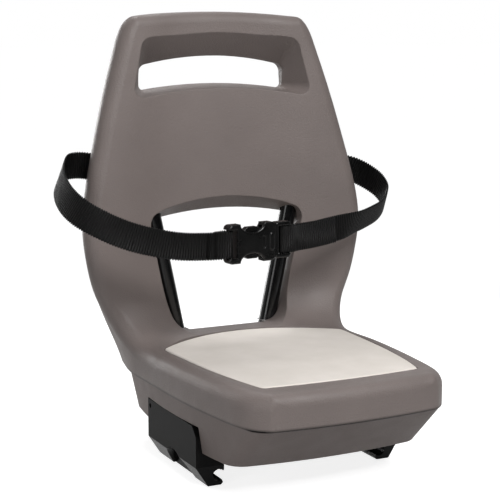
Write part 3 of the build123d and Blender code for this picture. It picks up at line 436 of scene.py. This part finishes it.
# %% Rings of the pad's top
PAD_CROWN = 0.0016
PAD_MIDDLE = np.array([0.0, -0.022])
TOP_RINGS = 63
LAST_SHARE = 0.012
SWELL_POWER = 1.3
RIPPLE_RISE = 0.00012
RIPPLE_TURNS = (61.0, 47.0)
RIPPLE_SHIFT = 1.3

share = np.linspace(1.0, LAST_SHARE, TOP_RINGS + 1)[1:, None, None]
top_plan = PAD_MIDDLE + share * (edge_rings[-1, :, :2] - PAD_MIDDLE)
swell = PAD_CROWN * (1 - share[..., 0] ** 2) ** SWELL_POWER
turn_x, turn_y = RIPPLE_TURNS[0] * top_plan[..., 0] + RIPPLE_SHIFT, RIPPLE_TURNS[1] * top_plan[..., 1]
ripple = RIPPLE_RISE * np.sin(turn_x) * np.sin(turn_y) * (1 - share[..., 0] ** 4)
top_rise = PAD_TOP + swell + ripple
top_rings = np.concatenate([top_plan, top_rise[..., None]], axis=2)
pad_grid = np.concatenate([edge_rings, top_rings], axis=0)
print("pad grid:", pad_grid.shape, "crown mm:", round(1000 * (pad_grid[..., 2].max() - PAD_TOP), 2))

# %% [markdown]
# The foam is matt and slightly warm. Its skin shows the cells it was cut through as a fine pitting, about a
# millimetre from cell to cell, under a slower unevenness of the sheet.

# %% Foam finish and the finished pad
FOAM_CELLS = 950.0

foam_finish = Finish("pale_foam", srgb(215, 208, 200), 0.82, **{"Sheen Weight": 0.12, "Sheen Roughness": 0.5})
foam_finish.mottle(foam_finish.noise(36.0, detail=4.0), srgb(210, 203, 195), srgb(219, 212, 205))
foam_cells = foam_finish.add("TexVoronoi", {"Vector": foam_finish.place}, Scale=FOAM_CELLS)
foam_finish.bump(foam_cells.outputs["Distance"], depth=0.00012, strength=0.45)
foam_finish.bump(foam_finish.noise(130.0), depth=0.0003, strength=0.3)

pad = skin("foam_pad", pad_grid, foam_finish.material)
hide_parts("seat_pad")
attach(pad, "seat")

# %% [markdown]
# ## The webbing
# The belt is 25 mm nylon webbing. Thick weft cords cross it every 2.35 mm, so its faces are ribbed and its edges
# scalloped. A flat strip with a bump would lose the scallops, so the ribs are in the geometry: a thin rounded section
# is carried along the belt's route, and its half-width and half-thickness rise and fall with the distance covered.
# The route is a chain of cubic curves through points read along the belt, from its screwed end behind the backrest,
# round to the front and through the buckle's bar.

# %% The route
CURVE_POINTS = 60


def smooth_route(points, step):
    """A smooth line through the points, and its length. Between neighbours it is a cubic Hermite curve; the slope at a
    point is the mean of the chords on its two sides, each weighted by the other's spacing, and the spacing is the root
    of the chord's length, which keeps tight loops from swinging wide. The line is then set out at equal steps."""
    points = np.array(points)
    chords = np.diff(points, axis=0)
    gaps = np.sqrt(np.linalg.norm(chords, axis=1))[:, None]
    rates = chords / gaps
    inner = (rates[:-1] * gaps[1:] + rates[1:] * gaps[:-1]) / (gaps[:-1] + gaps[1:])
    slopes = np.vstack([rates[:1], inner, rates[-1:]])
    t = np.linspace(0.0, 1.0, CURVE_POINTS, endpoint=False)[None, :, None]
    gap = gaps[:, None]
    curve = ((1 + 2 * t) * (1 - t) ** 2 * points[:-1, None] + t * (1 - t) ** 2 * gap * slopes[:-1, None]
             + t ** 2 * (3 - 2 * t) * points[1:, None] + t ** 2 * (t - 1) * gap * slopes[1:, None])
    line = np.vstack([curve.reshape(-1, 3), points[-1:]])
    length = np.linalg.norm(np.diff(line, axis=0), axis=1).sum()
    return evened(line, int(round(length / step)) + 1, closed=False)


print("a straight metre in steps of 10 mm:", len(smooth_route([(0, 0, 0), (0.4, 0, 0), (1, 0, 0)], 0.01)[0]), "points")

# %% [markdown]
# The buckle is turned a little, so places on it are given along its length and out of its front face. Each belt goes
# round one of its bars in a half circle.

# %% Places on the buckle
BUCKLE_AT = np.array([0.009, 0.024215])
BUCKLE_YAW = radians(8.0)
BELT_HEIGHT = 0.1935
SOCKET_BAR = -0.0475
PLUG_BAR = 0.0095
LOOP_R = 0.00315


def at_buckle(along, front):
    """A point of the belt by its distances along the buckle and out of its front face, in metres."""
    across = np.array([np.sin(BUCKLE_YAW), -np.cos(BUCKLE_YAW)])
    plan = BUCKLE_AT + along * np.array([np.cos(BUCKLE_YAW), np.sin(BUCKLE_YAW)]) + front * across
    return (plan[0], plan[1], BELT_HEIGHT)


def round_bar(bar, start, stop, count=7):
    """Points on the half circle that the webbing makes round a bar of the buckle, from one angle to another."""
    turn = np.radians(np.linspace(start, stop, count))
    return [at_buckle(bar + LOOP_R * x, LOOP_R * y) for x, y in zip(np.cos(turn), np.sin(turn))]


bars = [at_buckle(bar, 0.0) for bar in (SOCKET_BAR, PLUG_BAR)]
print("buckle's bars, mm:", [tuple(round(1000 * value, 1) for value in bar) for bar in bars])

# %% [markdown]
# The belt's width stands upright behind the backrest and at the buckle. On the way round, the lower edge is drawn in,
# so the strip leans. The lean is given by a few knots along the belt, with a smooth twist from each to the next.

# %% The lean
UPRIGHT = np.array([0.0, 0.0, 1.0])


def leaning(distance, knots):
    """The lean in radians at each distance, from knots of (metres, degrees). Between two knots, with t from 0 to 1,
    it goes from one to the other as t^2 (3 - 2t), so that the strip twists without a kink."""
    at, degrees = np.array(knots).T
    left = np.clip(np.searchsorted(at, distance, side="right") - 1, 0, len(at) - 2)
    t = np.clip((distance - at[left]) / (at[left + 1] - at[left]), 0.0, 1.0)
    return np.radians(degrees[left] + (degrees[left + 1] - degrees[left]) * t ** 2 * (3 - 2 * t))


def strip_axes(line, lean):
    """The directions of the strip's width and thickness at each point of a line. The width is square to the line and
    as upright as it can be, which is the upright less its part along the line, turned round the line by the lean."""
    ahead = unit(np.gradient(line, axis=0))
    width = unit(UPRIGHT - ahead[:, 2:] * ahead)
    width = np.cos(lean)[:, None] * width + np.sin(lean)[:, None] * np.cross(ahead, width)
    return width, np.cross(ahead, width)


print("half way from 0 to -20 degrees:", round(float(np.degrees(leaning(np.array([0.5]), [(0, 0), (1, -20)]))[0]), 1))

# %% [markdown]
# The section is a flat oval. Where the ribs rise, it is thicker and wider. At its two cut ends the nylon is melted
# thin, so that it doesn't fray.

# %% The ribbed section
RIB_PITCH = 0.00235
RIB_STEPS = 8
RIB_RISE = 0.00038
SCALLOP = 0.00055
WEB_HALF = 0.0121
WEB_THICK_HALF = 0.00062
WEB_ACROSS = 14
MELT_REACH = 0.0012
MELT_SHARE = 0.55


def webbing(name, points, material, lean):
    """A strip of webbing along a route. With the distance s, the half-width is its mean plus the scallop times
    2|sin(pi s / pitch)| - 1, a row of round cords with sharp valleys; the half-thickness goes likewise with the rib's
    rise, and falls across the strip as the fourth root of 1 - c^6, with c from -1 to 1. UV is the distance along and
    across in millimetres."""
    line, length = smooth_route(points, RIB_PITCH / RIB_STEPS)
    distance = np.linspace(0.0, length, len(line))
    width, through = strip_axes(line, leaning(distance, lean))
    rib = 2 * np.abs(np.sin(np.pi * distance / RIB_PITCH)) - 1
    across = np.sin(np.linspace(-np.pi / 2, np.pi / 2, WEB_ACROSS + 1))
    across = np.concatenate([across, across[-2:0:-1]])
    face = np.repeat([1.0, -1.0], WEB_ACROSS)
    face[[0, WEB_ACROSS]] = 0.0
    ends = np.clip(np.minimum(distance, length - distance) / MELT_REACH, 0.0, 1.0)
    thick = (WEB_THICK_HALF + RIB_RISE * rib) * (MELT_SHARE + (1 - MELT_SHARE) * ends)
    oval = face * (1 - np.abs(across) ** 6) ** 0.25
    wide = WEB_HALF + SCALLOP * rib
    grid = (line[:, None] + (wide[:, None] * across[None])[..., None] * width[:, None]
            + (thick[:, None] * oval[None])[..., None] * through[:, None])
    uv = np.stack(np.broadcast_arrays(1000 * distance[:, None], 1000 * WEB_HALF * across[None]), axis=-1)
    return skin(name, grid, material, uv=uv), length


print("ribs to 100 mm of webbing:", round(0.1 / RIB_PITCH))

# %% [markdown]
# ### Woven nylon
# On top of the ribs lie the warp yarns that run along the belt, about 0.8 mm apart, dipping under and over the weft.
# Two waves, one across and one along the strip, are multiplied for that relief, read from the strip's own UV map so
# that it follows every bend. The dark yarn has a faint gloss.

# %% Webbing finish
WARP_PITCH_MM = 0.82

web_finish = Finish("black_nylon", srgb(5, 5, 5), 0.4, **{"Specular IOR Level": 0.2})
weave_map = web_finish.add("UVMap", {})
weave_map.uv_map = "weave"
weave = web_finish.add("SeparateXYZ", {"Vector": weave_map.outputs["UV"]}).outputs


def sum_of(finish, operation, *values):
    """One sum with values, each a number or the output of a node."""
    node = finish.add("Math", {})
    node.operation = operation
    for socket, value in zip(node.inputs, values):
        if isinstance(value, float):
            socket.default_value = value
        else:
            finish.tree.links.new(value, socket)
    return node.outputs["Value"]


def wave(finish, value, period):
    """The sine of a length in millimetres, one turn to a period."""
    return sum_of(finish, "SINE", sum_of(finish, "MULTIPLY", value, 2 * np.pi / period))


warp = wave(web_finish, weave["Y"], WARP_PITCH_MM)
weft = wave(web_finish, weave["X"], 1000 * RIB_PITCH)
crossing = sum_of(web_finish, "MULTIPLY", warp, weft)
web_finish.mottle(web_finish.noise(500.0), srgb(3, 3, 3), srgb(8, 8, 8))
web_finish.bump(web_finish.span(warp, 0.0, 1.0, start=-1.0, stop=1.0), depth=0.00016, strength=0.6)
web_finish.bump(web_finish.span(crossing, 0.0, 1.0, start=-1.0, stop=1.0), depth=0.0001, strength=0.5)
print("webbing finish:", web_finish.material.name)

# %% [markdown]
# ### The left belt
# The left belt comes round from behind the backrest and is sewn round the bar of the buckle's socket, with its folded
# end behind it.

# %% Left belt
LEFT_ROUTE = [
    (-0.0960, 0.13375, 0.2466), (-0.1060, 0.13375, 0.2485), (-0.1260, 0.1335, 0.2562), (-0.1450, 0.1285, 0.2575),
    (-0.1575, 0.1155, 0.2535), (-0.1665, 0.0945, 0.2450), (-0.1685, 0.0690, 0.2340), (-0.1630, 0.0500, 0.2250),
    (-0.1490, 0.0345, 0.2155), (-0.1310, 0.0262, 0.2070), (-0.1100, 0.0218, 0.2003), (-0.0840, 0.0182, 0.1950),
    (-0.0620, 0.0162, 0.1935), at_buckle(-0.0535, 0.0031),
]
LEFT_FOLD = [at_buckle(-0.0530, -0.0030), at_buckle(-0.0610, -0.0022)]
LEFT_LEAN = [(0.0, 0.0), (0.03, 0.0), (0.08, -22.0), (0.15, -22.0), (0.22, 0.0), (1.0, 0.0)]

left_points = LEFT_ROUTE + round_bar(SOCKET_BAR, 90.0, -90.0) + LEFT_FOLD
left_belt, left_length = webbing("left_belt", left_points, web_finish.material, LEFT_LEAN)
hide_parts("left_strap")
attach(left_belt, "seat")
print("left belt, mm:", round(1000 * left_length))

# %% [markdown]
# ### The right belt
# The right belt passes behind the bar of the plug, round it, and comes back over itself as the tail that is pulled to
# tighten the belt. When the buckle opens, it has to follow the plug at one end and stay screwed to the backrest at the
# other. Here it stays in place, with no body to carry it.

# %% Right belt
RIGHT_ROUTE = [
    (0.0960, 0.13375, 0.2479), (0.1060, 0.13375, 0.2470), (0.1290, 0.1335, 0.2455), (0.1490, 0.1280, 0.2425),
    (0.1620, 0.1185, 0.2355), (0.1688, 0.1045, 0.2270), (0.1665, 0.0880, 0.2175), (0.1520, 0.0720, 0.2085),
    (0.1300, 0.0595, 0.2028), (0.1040, 0.0490, 0.1985), (0.0830, 0.0426, 0.1965), (0.0580, 0.0368, 0.1940),
    at_buckle(0.0290, -0.0033), at_buckle(0.0160, -0.0032),
]
RIGHT_TAIL = [
    at_buckle(0.0150, 0.0031), at_buckle(0.0205, 0.0026), at_buckle(0.0300, -0.0006),
    (0.0580, 0.0345, 0.1940), (0.0830, 0.0398, 0.1965),
]
RIGHT_LEAN = [(0.0, 0.0), (0.075, 0.0), (0.15, -24.0), (0.17, -24.0), (0.21, 0.0), (1.0, 0.0)]

right_points = RIGHT_ROUTE + round_bar(PLUG_BAR, -90.0, -270.0) + RIGHT_TAIL
right_belt, right_length = webbing("right_belt", right_points, web_finish.material, RIGHT_LEAN)
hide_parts("right_strap")
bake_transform(right_belt)
print("right belt, mm:", round(1000 * right_length))

# %% [markdown]
# ### Sewing
# The left belt's folded end is held by two bar tacks, dense zigzags of black thread across the webbing. The thread is
# a small round section carried along the zigzag, over the front face of the belt.

# %% Thread
THREAD_R = 0.00032
THREAD_SIDES = 6
BELT_FRONT = np.array([0.13, -0.99, 0.05])


def thread(name, line, material):
    """A round thread: a circle of its radius, square to the line, carried along it."""
    ahead = unit(np.gradient(line, axis=0))
    side = unit(np.cross(ahead, BELT_FRONT))
    other = np.cross(ahead, side)
    turn = np.linspace(0.0, 2 * np.pi, THREAD_SIDES, endpoint=False)[None, :, None]
    circle = THREAD_R * (np.cos(turn) * side[:, None] + np.sin(turn) * other[:, None])
    return skin(name, line[:, None] + circle, material)


thread_finish = Finish("black_thread", srgb(4, 4, 4), 0.6, **{"Specular IOR Level": 0.1})
thread_finish.mottle(thread_finish.noise(900.0), srgb(3, 3, 3), srgb(7, 7, 7))
print("thread finish:", thread_finish.material.name)

# %% [markdown]
# Each tack is found by its distance back from the socket's bar, along the belt. There the zigzag goes to and fro along
# the belt while it rises across it, just clear of the ribs.

# %% Bar tacks
TACKS_BACK = (0.0150, 0.0215)
TACK_STEP = 0.0002
TACK_REACH = 5
TACK_LEGS = 44
LEG_POINTS = 6
TACK_SWING = 0.0011
TACK_HALF = 0.0112
THREAD_CLEAR = 0.00012
TACK_LIFT = WEB_THICK_HALF + RIB_RISE + THREAD_CLEAR

left_line, _ = smooth_route(left_points, TACK_STEP)
at_bar = np.argmin(np.linalg.norm(left_line - np.array(at_buckle(SOCKET_BAR, LOOP_R)), axis=1))
legs = np.linspace(0.0, float(TACK_LEGS), TACK_LEGS * LEG_POINTS + 1)
swing = TACK_SWING * (4 * np.abs((legs / 2) % 1.0 - 0.5) - 1)
rise = np.linspace(-TACK_HALF, TACK_HALF, len(legs))
for number, back in enumerate(TACKS_BACK):
    at = at_bar - int(back / TACK_STEP)
    ahead = unit(left_line[at + TACK_REACH] - left_line[at - TACK_REACH])
    lifted = left_line[at] + TACK_LIFT * unit(np.cross(ahead, UPRIGHT))
    zigzag = lifted + swing[:, None] * ahead + rise[:, None] * UPRIGHT
    tack = thread(f"bar_tack_{number + 1}", zigzag, thread_finish.material)
    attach(tack, "seat")
print("bar tacks:", len(TACKS_BACK), "with", TACK_LEGS, "legs each")

# %% [markdown]
# ## Floor and light
# A studio picture on white: the seat stands on a pool of white paper, and the room in front of it is dark, which keeps
# the black pieces black. Where the camera looks past the seat, floor and sky are white. Reflections see the white
# paper beside and behind the seat, and the white sky beyond it. So floor and sky have one strength for each kind of
# ray.

# %% Levels by kind of ray
def level(tree, value, low, high, start=0.0, stop=1.0):
    """A strength that goes from low to high, as t^2 (3 - 2t), while a value goes from start to stop. Low and high are
    numbers, or outputs of other nodes."""
    node = tree.nodes.new("ShaderNodeMapRange")
    node.interpolation_type = "SMOOTHSTEP"
    node.inputs["From Min"].default_value = start
    node.inputs["From Max"].default_value = stop
    tree.links.new(value, node.inputs["Value"])
    for socket, strength in (("To Min", low), ("To Max", high)):
        if isinstance(strength, float):
            node.inputs[socket].default_value = strength
        else:
            tree.links.new(strength, node.inputs[socket])
    return node.outputs["Result"]


def by_ray(tree, plain, mirrored, shown):
    """One strength for rays that light the seat, one for reflections, and one for what the camera sees, also through
    glass."""
    rays = tree.nodes.new("ShaderNodeLightPath")
    glossy = level(tree, rays.outputs["Is Glossy Ray"], plain, mirrored)
    clear = level(tree, rays.outputs["Is Transmission Ray"], glossy, shown)
    return level(tree, rays.outputs["Is Camera Ray"], clear, shown)


print("rays sorted into plain, mirrored and shown")

# %% [markdown]
# The floor is one large face. The paper is pale near the seat and gives way to a dark room from 0.4 to 1 m out. To
# the camera the floor glows white, a little less near the seat, so that the light on the paper and the seat's shadow
# in it still show.

# %% Floor
FLOOR_HALF = 30.0
PAPER_EDGE = (0.4, 1.0)
PAPER_TONE = grey(0.52)
ROOM_TONE = grey(0.04)
PAPER_GLOW = 0.84
MIRROR_GLOW = 0.4
MIRROR_FROM = (-0.3, 0.0)

floor_finish = Finish("studio_floor", PAPER_TONE, 0.9, **{"Specular IOR Level": 0.0, "Emission Color": WHITE})
floor_tree = floor_finish.tree
floor_far = floor_finish.add("VectorMath", {0: floor_finish.place})
floor_far.operation = "LENGTH"
paper = floor_finish.span(floor_far.outputs["Value"], 1.0, 0.0, *PAPER_EDGE)
floor_finish.mottle(paper, ROOM_TONE, PAPER_TONE)
floor_mirrored = level(floor_tree, floor_finish.along("Y"), 0.0, MIRROR_GLOW, *MIRROR_FROM)
floor_shown = level(floor_tree, paper, 1.0, PAPER_GLOW)
floor_finish.hang(by_ray(floor_tree, 0.0, floor_mirrored, floor_shown), "Emission Strength")

floor_corners = [(x * FLOOR_HALF, y * FLOOR_HALF, 0.0) for x, y in ((-1, -1), (1, -1), (1, 1), (-1, 1))]
floor_mesh = bpy.data.meshes.new("studio_floor")
floor_mesh.from_pydata(floor_corners, [], [(0, 1, 2, 3)])
floor_mesh.materials.append(floor_finish.material)
floor = bpy.data.objects.new("studio_floor", floor_mesh)
scene.collection.objects.link(floor)
print("floor laid, m across:", 2 * FLOOR_HALF)

# %% [markdown]
# The sky adds a low, even level of light from all sides. In reflections it is dark in front of the seat and grows
# bright behind it, which draws a clear edge along the black pieces.

# %% Sky
SKY_LIGHT = 0.07
SKY_FRONT = 0.06
SKY_BEHIND = 0.6
SKY_TURN = (-0.2, 0.8)

world = bpy.data.worlds.new("studio_sky")
scene.world = world
world.use_nodes = True
sky_tree = world.node_tree
sky = sky_tree.nodes["Background"]
sky.inputs["Color"].default_value = WHITE
facing = sky_tree.nodes.new("ShaderNodeTexCoord")
facing_parts = sky_tree.nodes.new("ShaderNodeSeparateXYZ")
sky_tree.links.new(facing.outputs["Generated"], facing_parts.inputs["Vector"])
backdrop = level(sky_tree, facing_parts.outputs["Y"], SKY_FRONT, SKY_BEHIND, *SKY_TURN)
sky_tree.links.new(by_ray(sky_tree, SKY_LIGHT, backdrop, 1.0), sky.inputs["Strength"])
print("sky set, light level", SKY_LIGHT)

# %% [markdown]
# A wide soft light stands high in front and does most of the work. Two weaker ones behind the seat light its back and
# its upper edges, and a narrow strip on the left draws streaks along the tubes. Together with the sky they give a
# plain level, at which each colour comes out about as it is written.

# %% Lamps
def softbox(name, place, target, width, height, power):
    """A soft light of a width and a height at a place, turned towards a target, in metres, and its power in watts."""
    data = bpy.data.lights.new(name, "AREA")
    data.shape = "RECTANGLE"
    data.size = width
    data.size_y = height
    data.energy = power
    lamp = bpy.data.objects.new(name, data)
    lamp.location = place
    x, y, z = np.array(target) - np.array(place)
    lamp.rotation_euler = (np.arctan2(np.hypot(x, y), -z), 0.0, np.arctan2(y, x) - np.pi / 2)
    scene.collection.objects.link(lamp)
    return lamp


SEAT_MIDDLE = (0.0, 0.0, 0.2)
lamps = [
    softbox("key_light", (0.10, -1.45, 1.65), SEAT_MIDDLE, width=1.0, height=1.0, power=47.0),
    softbox("rim_light", (0.2, 1.2, 1.9), (0.0, 0.0, 0.25), width=0.6, height=0.6, power=15.0),
    softbox("back_light", (-0.45, 2.05, 0.5), SEAT_MIDDLE, width=1.0, height=1.0, power=20.0),
    softbox("left_strip", (-1.30, -0.55, 0.45), (0.0, 0.0, 0.22), width=0.45, height=0.9, power=4.0),
]
print("lamps, W:", {lamp.name: lamp.data.energy for lamp in lamps})

# %% [markdown]
